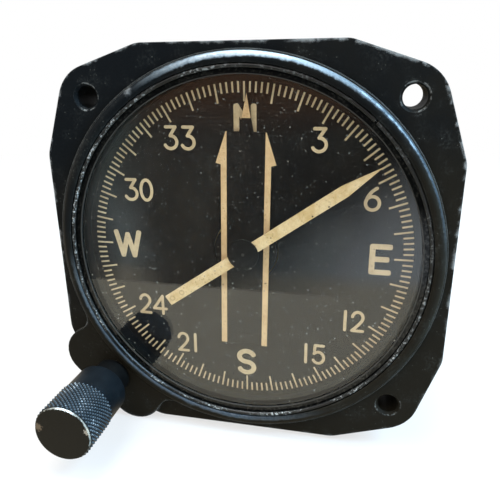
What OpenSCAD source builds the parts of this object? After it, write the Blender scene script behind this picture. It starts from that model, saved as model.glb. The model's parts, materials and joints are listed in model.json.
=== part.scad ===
// Panel-mounted aircraft compass indicator: a needle repeats the heading sent by a remote
// transmitter, and a corner knob turns a pair of parallel course lines under the needle.
// Every piece is drawn with the dial axis along Z, the panel face of the flange at Z = 0 and the
// glass towards +Z. place() then turns the whole so that the dial looks along -Y with +Z up.

/* [Panel flange] */
// Width of the flange across its flats
flange_w = 82.55; // [80:0.05:86]
// Thickness of the flange
flange_t = 5; // [3.5:0.1:7]
// Length of the straight stretch in the middle of each side
flat_l = 40; // [34:0.5:44]
// Angle at which a side draws in towards its corners
taper_deg = 18.4; // [16:0.1:21]
// Radius of the flange's corners
corner_r = 8; // [4:0.5:9]
// Radius where a straight stretch turns into the drawn-in one
shoulder_r = 6; // [2:0.5:10]
// Distance between neighbouring screw holes
hole_pitch = 62.86; // [62:0.01:64]
// Diameter of the screw holes
hole_d = 4.3; // [3.8:0.1:4.6]
// Width of the chamfer round each screw hole
hole_chamfer = 0.5; // [0.1:0.05:0.6]
// Diameter of the boss behind each screw hole
boss_d = 9.6; // [8.6:0.1:10.4]
// Height of those bosses behind the flange
boss_h = 5; // [3:0.1:8]

/* [Collar and knob ear] */
// Diameter of the raised collar that fills the panel's cut-out
collar_d = 79.8; // [78:0.1:80.5]
// Wall of the collar, from its outside to the bore for the glass
collar_wall = 2.9; // [2.7:0.05:3.4]
// Height of the collar's and the ear's face above the flange
collar_h = 1.1; // [0.8:0.1:1.6]
// Height of the rounded bead above the collar's face
bead_h = 0.95; // [0.6:0.05:1.4]
// Width of the rounded bead
bead_w = 2.5; // [1.8:0.1:2.5]
// Metal between the collar and the knob's bushing
ear_wall = 0.95; // [0.6:0.05:2]
// How far the ear reaches past the knob's axis
ear_reach = 5.6; // [5.4:0.1:8]
// Radius of the ear's two corners
ear_r = 6.3; // [5:0.1:8]
// Distance from the knob's axis to the centre of each ear corner
ear_spread = 7; // [6:0.1:8]
// Radius of the hollow sweep between the ear and the collar
ear_sweep_r = 3.4; // [2:0.1:8]

/* [Glass and dial] */
// Height of the glass's front face above the flange
glass_rise = 0.5; // [0.3:0.05:0.7]
// Thickness of the cover glass
glass_t = 1.5; // [1.2:0.1:1.8]
// Thickness of the black gasket on the glass
gasket_t = 0.35; // [0.2:0.05:0.5]
// Width of the gasket that shows round the glass
gasket_w = 1.5; // [1.2:0.1:2]
// Diameter of the split snap ring's round wire
snap_d = 0.8; // [0.7:0.05:0.9]
// Depth of the snap ring's groove
groove_depth = 0.55; // [0.5:0.05:0.6]
// Length of the gap in the snap ring
snap_gap = 0.6; // [0.4:0.1:3]
// Direction of that gap, clockwise from the top of the dial
snap_az = 42.6; // [0:0.1:90]
// Distance from the back of the glass to the face of the dial
dial_depth = 3.24; // [2.9:0.02:4]
// Thickness of the dial
dial_t = 0.8; // [0.5:0.1:1.2]
// Diameter of the hole in the middle of the dial
dial_hole_d = 14; // [13:0.1:16]
// Width of the spacer ring between dial and glass
spacer_w = 1.2; // [0.8:0.1:1.6]
// Width of the ledge that carries the dial
ledge_w = 4; // [3:0.1:4.5]
// Thickness of that ledge
ledge_t = 2; // [1.5:0.1:3]

/* [Heading needle] */
// Heading that the needle shows at rest, clockwise from the top
needle_az = 55.1; // [0:0.1:360]
// Distance from the dial axis to the needle's tip
needle_tip = 32.9; // [29:0.1:34]
// Distance from the dial axis to where the tip starts to narrow
needle_shoulder = 24.6; // [20:0.1:27]
// Distance from the dial axis to the square tail end
needle_tail = 20.8; // [15:0.1:30]
// Width of the needle
needle_w = 2.4; // [1.8:0.1:3]
// Thickness of the needle
needle_t = 0.4; // [0.2:0.05:0.5]
// Gap between the glass and the needle's hub
needle_drop = 0.25; // [0.2:0.05:0.4]
// Diameter of the black hub on the needle
hub_d = 6.6; // [5.8:0.1:8]
// Height of that hub above the needle
hub_h = 0.2; // [0.1:0.05:0.3]

/* [Course lines] */
// Course that the lines are set to at rest, clockwise from the top
course_az = 1.1; // [0:0.1:360]
// Distance from the middle to the centre of each line
line_offset = 4.56; // [4:0.02:5.5]
// Width of each line
line_w = 1.32; // [1:0.02:1.6]
// Distance from the dial axis to the arrow tips and the plate's top edge
line_top = 24.8; // [22:0.1:26]
// Distance from the dial axis to the lines' lower ends
line_tail = 21.9; // [18:0.1:25]
// Length of the half arrowheads
barb_l = 6.35; // [5:0.05:8]
// How far a barb stands out from its line
barb_out = 1.05; // [0.6:0.05:1.6]
// Distance from the dial axis to the tip of the index
index_tip = 32.1; // [30:0.1:33]
// Width of the index where it leaves the plate
index_w = 2.86; // [2:0.02:3.6]
// Thickness of the course plate
course_t = 0.4; // [0.2:0.05:0.6]
// Height of the course plate's back above the dial
course_lift = 0.4; // [0.3:0.05:0.7]

/* [Setting gears] */
// Teeth on the gear that carries the course plate
course_teeth = 96; // [90:2:100]
// Teeth on the idler gear
idler_teeth = 22; // [20:2:24]
// Teeth on the knob's pinion
pinion_teeth = 12; // [11:1:14]
// Pressure angle of the teeth
pressure_deg = 20; // [18:0.5:25]
// Slack between meshing teeth, along the pitch circle
backlash = 0.1; // [0.06:0.01:0.2]
// Thickness of the course gear's rim and web
gear_t = 1.2; // [1:0.1:1.6]
// Thickness of the idler gear
idler_t = 1.8; // [1.4:0.1:2]
// Length of the pinion
pinion_l = 2.6; // [2:0.1:2.8]
// Distance from the ledge's back to the course gear
gear_drop = 1.16; // [1:0.02:1.6]
// Distance from the course gear to the mechanism plate
plate_drop = 1.6; // [1.5:0.05:2.2]
// Diameter of the lightening holes in the course gear
web_hole_d = 13; // [8:0.5:14]

/* [Setting knob] */
// Distance from the flange to the knob's front face
knob_front = 22.85; // [20:0.05:26]
// Diameter over the knurl
knob_d = 12.6; // [12.2:0.1:13.4]
// Length of the knurled head, with its chamfer
head_l = 9.05; // [7:0.05:11]
// Diameter of the smooth neck
neck_d = 11.9; // [9:0.1:12]
// Length of the smooth neck
neck_l = 6.8; // [5:0.1:9]
// Diamonds round the knurl
knurl_count = 40; // [30:1:44]
// Depth of the knurl
knurl_depth = 0.25; // [0.15:0.05:0.3]
// Chamfer in front of the knurl
knurl_chamfer = 0.3; // [0.2:0.05:0.6]
// Diameter of the knob's shaft
shaft_d = 4; // [3:0.1:4.4]
// Diameter of the bushing in the ear
bushing_d = 7.2; // [6.6:0.1:7.8]
// Diameter of the bushing's nose, in front of the ear
nose_d = 8.4; // [8:0.1:9]
// Diameter of the knob's set screw
set_screw_d = 1.8; // [1.4:0.1:2.2]

/* [Case] */
// How much smaller the barrel's radius is than the collar's
barrel_step = 1.3; // [0.8:0.1:1.6]
// Wall of the barrel
barrel_wall = 2; // [1.6:0.1:2.4]
// Thickness of the mechanism plate
plate_t = 2; // [1.5:0.1:3]
// Depth of the gear pocket in the ear, behind the course gear's front
pocket_depth = 4.2; // [3.8:0.1:5]
// Thickness of the plate that closes the gear pocket
gear_cover_t = 1.5; // [1:0.1:2]
// Room for the wires behind the movement
wiring_room = 9.5; // [8:0.5:20]
// Thickness of the rear gasket
rear_gasket_t = 0.5; // [0.3:0.1:1]
// Thickness of the rear cover
rear_cover_t = 2.5; // [2:0.1:4]
// Height of the raised seat for the connector
rear_seat_h = 1; // [0.5:0.1:2]
// Diameter of that seat
rear_seat_d = 44; // [41:0.5:50]
// Screws that hold the rear cover
rear_screws = 6; // [4:1:8]

/* [Movement] */
// Diameter of the movement's housing
housing_d = 40; // [38:0.5:44]
// Wall of the housing
housing_wall = 1.6; // [1.2:0.1:2]
// Length of the housing behind the mechanism plate
housing_l = 23; // [22:0.5:28]
// Width of the housing's fixing flange
housing_flange_w = 5.5; // [5:0.1:8]
// Thickness of that flange
housing_flange_t = 2; // [1.5:0.1:3]
// Depth of the front wall behind the mechanism plate
front_wall_depth = 3.4; // [3.2:0.1:4]
// Thickness of the front wall and of the rear bearing plate
bearing_wall = 2; // [1.6:0.1:2.4]
// Gap between the coils and the housing
coil_gap = 0.5; // [0.3:0.1:2]
// Width of the ring core's section
core_w = 4; // [3:0.1:4.5]
// Height of the ring core's section
core_h = 8; // [6:0.5:9]
// Thickness of the copper round the core
winding_t = 2.4; // [1.8:0.1:2.6]
// Separate coils on the core
coil_count = 9; // [6:3:12]
// Part of each coil's share of the ring that is wound
coil_fill = 0.82; // [0.6:0.02:0.9]
// Gap between the coils and the rotor magnet
magnet_gap = 1.6; // [1:0.1:3]
// Length of the rotor magnet
magnet_l = 9; // [6:0.5:10]
// Diameter of the rotor shaft
rotor_d = 1.8; // [1.5:0.1:2.2]

/* [Connector] */
// Width of the connector's square flange
conn_w = 28; // [27:0.5:30]
// Thickness of that flange
conn_t = 2; // [1.5:0.1:3]
// Outer diameter of the connector's shell
shell_d = 22.2; // [21:0.1:23]
// Wall of the shell
shell_wall = 1.5; // [1.2:0.1:1.8]
// Length of the shell behind its flange
shell_l = 14; // [11:0.5:18]
// Depth of the contacts' recess
recess_l = 8; // [6:0.5:10]
// Number of contacts
contacts = 5; // [3:1:6]
// Diameter of the circle of contacts
contact_pcd = 9.2; // [8:0.1:11]
// Diameter of a contact
contact_d = 1.6; // [1.2:0.1:2]

/* [Screws and fits] */
// Diameter of the small screws
screw_d = 2.2; // [1.8:0.1:2.5]
// Diameter of their heads
screw_head_d = 4.2; // [3.6:0.1:4.6]
// Height of their heads
screw_head_h = 1.2; // [0.8:0.1:1.6]
// Gap round a piece that is fixed in its seat
seat_gap = 0.02; // [0.01:0.01:0.05]
// Gap round a shaft that turns in its bearing
run_gap = 0.05; // [0.03:0.01:0.08]
// Gap between pieces that pass each other
pass_gap = 0.3; // [0.2:0.05:0.35]

/* [Hidden] */
$fn = 96;
cut = 1;
arc_steps = 10;

// Levels along the dial axis, from the glass to the connector
z_glass = glass_rise;
z_glass_back = z_glass - glass_t;
z_gasket = z_glass + gasket_t;
z_snap = z_gasket + snap_d;
z_dial = z_glass_back - dial_depth;
z_dial_back = z_dial - dial_t;
z_ledge_back = z_dial_back - ledge_t;
z_gear = z_ledge_back - gear_drop;
z_plate = z_gear - gear_t - plate_drop;
z_plate_back = z_plate - plate_t;
z_pocket_back = z_gear - pocket_depth;
z_wall = z_plate_back - front_wall_depth;
z_wall_back = z_wall - bearing_wall;
z_housing_back = z_plate_back - housing_l;
z_bearing_plate = z_housing_back - bearing_wall;
post_l = 2.5;
z_post = z_bearing_plate - post_l;
z_barrel_back = z_bearing_plate - post_l - wiring_room;
z_cover = z_barrel_back - rear_gasket_t;
z_cover_back = z_cover - rear_cover_t;
z_conn = z_cover_back - rear_seat_h;
z_conn_back = z_conn - conn_t;
z_shell_back = z_conn_back - shell_l;
z_insert_back = z_shell_back + recess_l;
wire_run = 5.5;
z_contact_front = z_post - wire_run;

// Radii of the case
collar_r = collar_d / 2;
bore_r = collar_r - collar_wall;
inset_gap = 0.18;
inset_r = bore_r - inset_gap;
barrel_r = collar_r - barrel_step;
barrel_in = barrel_r - barrel_wall;
ledge_in = bore_r - ledge_w;
snap_play = 0.1;
bead_land = 0.3;
bead_r = collar_r - bead_land - bead_w / 2;
bead_arc_r = (bead_w * bead_w / 4 + bead_h * bead_h) / (2 * bead_h);
lug_r = 3.2;
lug_root = 0.6;
plate_lug_at = barrel_in - lug_r + lug_root;
rear_lug_at = barrel_in - lug_r + lug_root;
rear_lug_l = 7;
rear_chamfer = 0.6;
rear_start = 15;
plate_lug_angles = [45, 165, 285];

// How far screws reach into what they hold
screw_short = 0.3;
plate_bite = 2.8;
lug_bite = 4.8;
cover_bite = 4;

// How deep the ear's sweeps run into the collar
ear_lap = 0.05;

// Gear train: course gear, idler and pinion stand in line on the diagonal to the knob
knob_r = collar_r + ear_wall + bushing_d / 2;
hole_r = hole_pitch / sqrt(2);
hole_angles = [45, 135, 315];
knob_dir = 225;
gear_m = 2 * knob_r / (course_teeth + 2 * idler_teeth + pinion_teeth);
tooth_over = 0.9;
tooth_under = 1.2;
addendum = tooth_over * gear_m;
dedendum = tooth_under * gear_m;
idler_r = (course_teeth + idler_teeth) * gear_m / 2;
pinion_tip = pinion_teeth * gear_m / 2 + addendum;
idler_tip = idler_teeth * gear_m / 2 + addendum;
tip_room = 0.4;
pinion_room = pinion_tip + tip_room;
idler_room = idler_tip + tip_room;
z_pinion = z_gear + (pinion_l - gear_t) / 2;
z_pinion_back = z_pinion - pinion_l;
z_idler = z_gear + (idler_t - gear_t) / 2;
z_idler_back = z_idler - idler_t;
washer_h = 0.65;
washer_t = 0.3;
washer_play = 0.2;
z_pocket = z_pinion + washer_h + washer_play;
cover_screw_at = 10;

// Idler stud, seated in a boss under the ledge
stud_d = 3.2;
stud_thread_d = 2.4;
stud_head_d = 5.2;
stud_head_h = 0.7;
stud_boss_r = 2.8;
stud_blind = 0.6;
stud_slot_w = 0.7;
stud_slot_depth = 0.4;
z_stud_boss = z_idler + pass_gap;
z_stud_head = z_idler_back - pass_gap / 2;

// Course sleeve and its bushing in the mechanism plate
sleeve_r = 3.5;
sleeve_bore_r = 2.1;
sleeve_disc_r = dial_hole_d / 2 - pass_gap;
bush_r = 5;
bush_flange_r = 6;
bush_flange_t = 0.4;
bush_l = 1.6;
gear_hub_r = 5.6;
clip_t = 0.5;
clip_depth = 0.45;
clip_w = 2;
clip_mouth = 4.9;
z_course_back = z_dial + course_lift;
z_course = z_course_back + course_t;
z_bush_back = z_plate_back - bush_l;
z_clip = z_bush_back - pass_gap;
z_clip_back = z_clip - clip_t;
sleeve_end = 0.4;
z_sleeve_back = z_clip_back - sleeve_end;
gear_hub_back = z_plate + bush_flange_t + pass_gap;

// Needle levels
z_hub = z_glass_back - needle_drop;
z_needle = z_hub - hub_h;
z_needle_back = z_needle - needle_t;
hub_boss_wall = 1;
hub_stem_wall = 0.3;
hub_boss_r = rotor_d / 2 + hub_boss_wall;
hub_stem_r = rotor_d / 2 + hub_stem_wall;
hub_boss_l = 1.1;
z_rotor_front = z_needle;
rotor_tip_r = 0.3;
needle_eye_r = hub_stem_r + hub_boss_wall;

// Movement
magnet_mid = (z_wall_back + z_housing_back) / 2;
pivot_bush_r = 3;
housing_in = housing_d / 2 - housing_wall;
housing_flange_r = housing_d / 2 + housing_flange_w;
housing_screw_at = housing_d / 2 + housing_flange_w / 2;
core_r = housing_in - coil_gap - winding_t;
magnet_r = core_r - core_w - winding_t - magnet_gap;
post_d = 1.8;
post_at = 14;
post_rivet = 0.8;
tie_at = housing_d / 2 + screw_d / 2 + pass_gap;
tie_head_d = screw_head_d + 1;
tie_start = 105;
housing_start = 45;
pivot_floor = 0.5;
z_rotor_back = z_bearing_plate + pivot_floor;

// Knob
knob_back = knob_front - head_l - neck_l;
knob_floor = 4.6;
shaft_tip = knob_front - knob_floor;
z_shaft_back = z_pocket_back - gear_cover_t + pass_gap;
land_step = 0.05;
pivot_d = 3;
shaft_shoulder = 0.4;
nose_top = knob_back - pass_gap;
set_screw_z = knob_back + neck_l / 2;
set_screw_sunk = 0.4;
set_screw_slot = 0.4;

// Connector
conn_edge = 3.1;
conn_screw_pitch = conn_w - 2 * conn_edge;
shell_in = shell_d / 2 - shell_wall;
conn_body_step = 0.6;
conn_body_r = shell_d / 2 - conn_body_step;
conn_neck_l = 6;
key_w = 2.2;
key_depth = 0.7;
contact_sunk = 2;
wire_d = 1.1;

// Turns the dial axis from +Z to -Y
module place() {
    rotate([90, 0, 0]) children();
}

// A solid of revolution between two levels
module rod(r, z0, z1) {
    translate([0, 0, z0]) cylinder(r = r, h = z1 - z0);
}

// A ring between two radii and two levels
module tube(r_in, r_out, z0, z1) {
    difference() {
        rod(r_out, z0, z1);
        rod(r_in, z0 - cut, z1 + cut);
    }
}

// Lifts an outline to a plate between two levels
module slab(z0, z1) {
    translate([0, 0, z0]) linear_extrude(z1 - z0) children();
}

// Turns a piece clockwise from the top of the dial
module heading(az) {
    rotate([0, 0, -az]) children();
}

// Moves a piece out along the diagonal to the knob
module on_diagonal(r) {
    rotate([0, 0, knob_dir]) translate([r, 0, 0]) children();
}

// Repeats a piece round the dial axis
module ring_of(count, r, start = 0) {
    for (i = [0 : count - 1])
        rotate([0, 0, start + i * 360 / count]) translate([r, 0, 0]) children();
}

// A slotted cheese-head screw whose head sits on z = 0 and rises by its height along +Z
module screw(length, d = screw_d, head_d = screw_head_d, head_h = screw_head_h) {
    difference() {
        union() {
            cylinder(d = head_d, h = head_h);
            translate([0, 0, -length]) cylinder(d = d, h = length + head_h / 4);
        }
        translate([-head_d, -head_d / 12, head_h / 2]) cube([2 * head_d, head_d / 6, head_h]);
    }
}

function unit(v) = v / norm(v);
function polar(r, a) = [r * cos(a), r * sin(a)];
function arc(c, r, a0, a1) = [for (i = [0 : arc_steps]) c + polar(r, a0 + (a1 - a0) * i / arc_steps)];
function bearing_of(v) = atan2(v[1], v[0]);
function short_turn(a) = a - 360 * round(a / 360);

// The arc that rounds corner p between its neighbours a and b
function rounded(a, p, b, r) =
    let (
        u = unit(a - p),
        v = unit(b - p),
        half = acos(u * v) / 2,
        c = p + unit(u + v) * r / sin(half),
        from = bearing_of(p + u * r / tan(half) - c),
        to = bearing_of(p + v * r / tan(half) - c)
    )
    arc(c, r, from, from + short_turn(to - from));

// Outline of the flange: four straight stretches, each drawn in towards rounded corners
module flange_outline() {
    half = flange_w / 2;
    flat = flat_l / 2;
    tip = (half + tan(taper_deg) * flat) / (1 + tan(taper_deg));
    sharp = [
        for (q = [0 : 3])
            for (p = [[half, flat], [tip, tip], [flat, half]])
                [p[0] * cos(90 * q) - p[1] * sin(90 * q), p[0] * sin(90 * q) + p[1] * cos(90 * q)]
    ];
    n = len(sharp);
    polygon([
        for (i = [0 : n - 1])
            each rounded(
                sharp[(i + n - 1) % n], sharp[i], sharp[(i + 1) % n],
                i % 3 == 1 ? corner_r : shoulder_r
            )
    ]);
}

// Outline of the knob's ear, drawn along +X and swept into the collar on both sides
module ear_outline() {
    corner = [knob_r + ear_reach - ear_r, ear_spread];
    far = norm(corner);
    to_sweep = collar_r + ear_sweep_r;
    turn = acos((far * far + to_sweep * to_sweep - pow(ear_r + ear_sweep_r, 2)) / (2 * far * to_sweep));
    sweep_at = bearing_of(corner) + turn;
    sweep = polar(to_sweep, sweep_at);
    join = bearing_of(sweep - corner);
    half = concat(
        arc(corner, ear_r, 0, join),
        arc(sweep, ear_sweep_r, join + 180, sweep_at + 180),
        [polar(collar_r - ear_lap, sweep_at + 1)]
    );
    mirrored = [for (i = [len(half) - 1 : -1 : 0]) [half[i][0], -half[i][1]]];
    rotate(knob_dir) polygon(concat([[0, 0]], mirrored, half));
}

// Outline of a gear with involute flanks and a tooth on +X
function involute(a) = tan(a) * 180 / PI - a;
function tooth_half(n, r) =
    let (
        pitch_r = n * gear_m / 2,
        base_r = pitch_r * cos(pressure_deg),
        slack = backlash / 4 / pitch_r * 180 / PI
    )
    90 / n - slack + involute(pressure_deg) - (r > base_r ? involute(acos(base_r / r)) : 0);
module gear_outline(n) {
    pitch_r = n * gear_m / 2;
    levels = [pitch_r - dedendum, pitch_r, pitch_r + addendum / 2, pitch_r + addendum];
    top = len(levels) - 1;
    polygon([
        for (i = [0 : n - 1])
            each concat(
                [for (k = [0 : top]) polar(levels[k], 360 * i / n - tooth_half(n, levels[k]))],
                [for (k = [top : -1 : 0]) polar(levels[k], 360 * i / n + tooth_half(n, levels[k]))]
            )
    ]);
}

// Outline of the course plate: two lines with outward half arrowheads, a bridge and an index
module course_outline() {
    inner = line_offset - line_w / 2;
    outer = line_offset + line_w / 2;
    barb_y = line_top - barb_l;
    barb_back = barb_out / 4;
    right = [
        [0, index_tip], [index_w / 2, line_top], [inner + line_w / 6, line_top],
        [outer + barb_out, barb_y], [outer, barb_y - barb_back], [outer, -line_tail]
    ];
    left = [for (i = [len(right) - 1 : -1 : 1]) [-right[i][0], right[i][1]]];
    polygon(concat(right, left));
}

// Outline of the heading needle, pointing along +Y
module needle_outline() {
    half = needle_w / 2;
    polygon([
        [0, needle_tip], [half, needle_shoulder], [half, -needle_tail],
        [-half, -needle_tail], [-half, needle_shoulder]
    ]);
}

// The case: flange, collar, bead, ear with its gear pocket, ledge and barrel in one casting
module case_blank() {
    slab(-flange_t, 0) flange_outline();
    rod(collar_r, -flange_t, collar_h);
    slab(z_pocket_back, collar_h) ear_outline();
    rod(barrel_r, z_barrel_back, -flange_t);
    for (a = hole_angles)
        rotate([0, 0, a]) translate([hole_r, 0, 0]) rod(boss_d / 2, -flange_t - boss_h, 0);
    rotate_extrude() intersection() {
        translate([bead_r, collar_h + bead_h - bead_arc_r]) circle(r = bead_arc_r);
        translate([bead_r - bead_w, 0]) square([2 * bead_w, collar_h + 2 * bead_h]);
    }
}
module case_hollows() {
    rod(bore_r, z_dial_back, collar_h + bead_h + cut);
    rod(bore_r + groove_depth, z_gasket, z_snap + snap_play);
    rod(ledge_in, z_ledge_back - cut, z_dial_back + cut);
    rod(barrel_in, z_barrel_back - cut, z_ledge_back);
    on_diagonal(knob_r) rod(pinion_room, z_pocket_back - cut, z_pocket);
    on_diagonal(idler_r) rod(idler_room, z_stud_head - stud_head_h - pass_gap, z_stud_boss + pass_gap);
    on_diagonal(knob_r) rod(bushing_d / 2 + seat_gap, z_pocket - cut, collar_h + cut);
}
module case_lugs() {
    intersection() {
        union() {
            for (a = plate_lug_angles)
                rotate([0, 0, a]) translate([plate_lug_at, 0, 0])
                    rod(lug_r, z_plate, z_ledge_back + lug_root);
            ring_of(rear_screws, rear_lug_at, rear_start)
                rod(lug_r, z_barrel_back, z_barrel_back + rear_lug_l);
            on_diagonal(idler_r) rod(stud_boss_r, z_stud_boss, z_dial_back);
        }
        rod(barrel_r - barrel_wall / 2, z_barrel_back, z_dial_back);
    }
}
module case_holes() {
    for (a = hole_angles) rotate([0, 0, a]) translate([hole_r, 0, 0]) {
        rod(hole_d / 2, -flange_t - boss_h - cut, collar_h);
        translate([0, 0, -hole_chamfer])
            cylinder(r1 = hole_d / 2, r2 = hole_d / 2 + 2 * hole_chamfer, h = 2 * hole_chamfer);
    }
    for (a = plate_lug_angles)
        rotate([0, 0, a]) translate([plate_lug_at, 0, 0])
            rod(screw_d / 2 + seat_gap, z_plate - cut, z_plate + plate_bite + screw_short);
    ring_of(rear_screws, rear_lug_at, rear_start)
        rod(screw_d / 2 + seat_gap, z_barrel_back - cut, z_barrel_back + lug_bite + screw_short);
    on_diagonal(idler_r) rod(stud_thread_d / 2 + seat_gap, z_stud_boss - cut, z_dial_back - stud_blind);
    on_diagonal(knob_r) for (s = [-1, 1]) translate([0, s * cover_screw_at, 0])
        rod(screw_d / 2 + seat_gap, z_pocket_back - cut, z_pocket_back + cover_bite + screw_short);
}
module case_body() {
    color([0.07, 0.075, 0.075]) place() difference() {
        union() {
            difference() {
                case_blank();
                case_hollows();
            }
            case_lugs();
        }
        case_holes();
    }
}

// Glass, gasket and snap ring in front of the dial
module cover_glass() {
    color([0.75, 0.8, 0.8, 0.35]) place() rod(inset_r, z_glass_back, z_glass);
}
module glass_gasket() {
    color([0.04, 0.04, 0.04]) place() tube(bore_r - gasket_w, bore_r - seat_gap, z_glass, z_gasket);
}
module snap_ring() {
    middle = bore_r + groove_depth - snap_play - snap_d / 2;
    color([0.2, 0.2, 0.2]) place() difference() {
        rotate_extrude() translate([middle, (z_gasket + z_snap) / 2]) circle(d = snap_d);
        heading(snap_az) translate([-snap_gap / 2, 0, z_gasket - cut])
            cube([snap_gap, middle + snap_d, snap_d + 2 * cut]);
    }
}
module spacer_ring() {
    color([0.05, 0.05, 0.05]) place() tube(inset_r - spacer_w, inset_r, z_dial, z_glass_back);
}
module dial_plate() {
    color([0.06, 0.06, 0.06]) place() tube(dial_hole_d / 2, inset_r, z_dial_back, z_dial);
}

// Needle, its hub and the rotor that turns it
module needle() {
    color([0.85, 0.78, 0.6]) place() heading(needle_az) difference() {
        union() {
            slab(z_needle_back, z_needle) needle_outline();
            rod(needle_eye_r, z_needle_back, z_needle);
        }
        rod(hub_stem_r + seat_gap, z_needle_back - cut, z_needle + cut);
    }
}
module needle_hub() {
    color([0.05, 0.05, 0.05]) place() difference() {
        union() {
            rod(hub_d / 2, z_needle, z_hub);
            rod(hub_stem_r, z_needle_back, z_needle);
            rod(hub_boss_r, z_needle_back - hub_boss_l, z_needle_back);
        }
        rod(rotor_d / 2 + seat_gap, z_needle_back - hub_boss_l - cut, z_rotor_front);
        rod(rotor_tip_r + seat_gap, z_needle, z_hub + cut);
    }
}
module rotor_shaft() {
    color("silver") place() {
        rod(rotor_d / 2, z_rotor_back, z_rotor_front - seat_gap);
        rod(rotor_tip_r, z_rotor_front - hub_h, z_hub);
    }
}
module rotor_magnet() {
    color([0.35, 0.35, 0.38]) place()
        tube(rotor_d / 2 + seat_gap, magnet_r, magnet_mid - magnet_l / 2, magnet_mid + magnet_l / 2);
}

// Course plate on its sleeve, with the gear that turns it
module course_pointer() {
    color([0.06, 0.06, 0.06]) place() heading(course_az) difference() {
        slab(z_course_back, z_course) course_outline();
        rod(hub_boss_r + pass_gap * 2, z_course_back - cut, z_course + cut);
    }
}
module course_sleeve() {
    color([0.06, 0.06, 0.06]) place() difference() {
        union() {
            rod(sleeve_disc_r, z_dial_back, z_course_back);
            rod(sleeve_r, z_sleeve_back, z_dial_back);
        }
        rod(sleeve_bore_r, z_sleeve_back - cut, z_course_back + cut);
        tube(sleeve_r - clip_depth, sleeve_r + cut, z_clip_back, z_clip);
    }
}
module course_gear() {
    web_hole_at = (gear_hub_r + course_teeth * gear_m / 2 - dedendum) / 2;
    color("goldenrod") place() difference() {
        union() {
            slab(z_gear - gear_t, z_gear) rotate(knob_dir) gear_outline(course_teeth);
            rod(gear_hub_r, gear_hub_back, z_gear);
        }
        rod(sleeve_r + seat_gap, gear_hub_back - cut, z_gear + cut);
        ring_of(6, web_hole_at) rod(web_hole_d / 2, z_gear - gear_t - cut, z_gear + cut);
    }
}
module sleeve_clip() {
    inner = sleeve_r - clip_depth + seat_gap;
    color("silver") place() difference() {
        tube(inner, inner + clip_w, z_clip_back + seat_gap, z_clip - seat_gap);
        translate([-clip_mouth / 2, 0, z_clip_back - cut])
            cube([clip_mouth, inner + clip_w + cut, clip_t + 2 * cut]);
    }
}

// Idler between the course gear and the pinion, on a shoulder stud
module idler_gear() {
    color("goldenrod") place() on_diagonal(idler_r) difference() {
        slab(z_idler_back, z_idler) rotate(180 / idler_teeth) gear_outline(idler_teeth);
        rod(stud_d / 2 + run_gap, z_idler_back - cut, z_idler + cut);
    }
}
module idler_stud() {
    color("silver") place() on_diagonal(idler_r) difference() {
        union() {
            rod(stud_thread_d / 2, z_stud_boss - seat_gap, z_dial_back - 2 * stud_blind);
            rod(stud_d / 2, z_stud_head, z_stud_boss - seat_gap);
            rod(stud_head_d / 2, z_stud_head - stud_head_h, z_stud_head);
        }
        translate([-stud_head_d, -stud_slot_w / 2, z_stud_head - stud_head_h - cut])
            cube([2 * stud_head_d, stud_slot_w, cut + stud_slot_depth]);
    }
}

// Knurled head as one closed skin: peaks and valleys alternate over a grid of columns and rows
module knurl(z0, z1) {
    cols = 2 * knurl_count;
    rows = 2 * round((z1 - z0) / (PI * knob_d / knurl_count)) + 2;
    function ring_r(j) = knob_d / 2 - (j == 0 || j == rows ? knurl_depth : 0);
    skin = [
        for (j = [0 : rows])
            for (i = [0 : cols - 1])
                let (
                    low = j > 0 && j < rows && (i + j) % 2 == 1 ? knurl_depth : 0,
                    p = polar(ring_r(j) - low, 360 * i / cols)
                )
                [p[0], p[1], z0 + (z1 - z0) * j / rows]
    ];
    lids = [[0, 0, z0], [0, 0, z1]];
    foot = len(skin);
    function at(i, j) = j * cols + i % cols;
    sides = [
        for (j = [0 : rows - 1])
            for (i = [0 : cols - 1])
                each (i + j) % 2 == 0
                    ? [
                        [at(i, j), at(i, j + 1), at(i + 1, j)],
                        [at(i + 1, j), at(i, j + 1), at(i + 1, j + 1)]
                    ]
                    : [
                        [at(i, j), at(i + 1, j + 1), at(i + 1, j)],
                        [at(i, j), at(i, j + 1), at(i + 1, j + 1)]
                    ]
    ];
    caps = [
        for (i = [0 : cols - 1])
            each [[foot, at(i, 0), at(i + 1, 0)], [foot + 1, at(i + 1, rows), at(i, rows)]]
    ];
    polyhedron(concat(skin, lids), concat(sides, caps));
}
module setting_knob() {
    head_back = knob_front - head_l;
    land_r = knob_d / 2 - knurl_depth - land_step;
    color([0.1, 0.11, 0.12]) place() on_diagonal(knob_r) difference() {
        union() {
            knurl(head_back, knob_front - knurl_chamfer);
            translate([0, 0, knob_front - knurl_chamfer])
                cylinder(r1 = land_r, r2 = land_r - knurl_chamfer / 2, h = knurl_chamfer);
            rod(neck_d / 2, knob_back, head_back);
        }
        rod(shaft_d / 2 + seat_gap, knob_back - cut, shaft_tip + pass_gap);
        translate([0, 0, set_screw_z]) rotate([0, 90, 0])
            cylinder(d = set_screw_d + 2 * seat_gap, h = neck_d);
    }
}
module knob_set_screw() {
    reach = neck_d / 2 - shaft_d / 2 - set_screw_sunk;
    color("dimgray") place() on_diagonal(knob_r) translate([shaft_d / 2 + seat_gap, 0, set_screw_z])
        rotate([0, 90, 0]) difference() {
            cylinder(d = set_screw_d, h = reach);
            translate([-set_screw_d, -set_screw_slot / 2, reach - set_screw_slot])
                cube([2 * set_screw_d, set_screw_slot, cut]);
        }
}
module knob_shaft() {
    color("silver") place() on_diagonal(knob_r) {
        rod(shaft_d / 2, z_pinion_back - shaft_shoulder, shaft_tip);
        rod(pivot_d / 2, z_shaft_back, z_pinion_back);
    }
}
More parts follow.
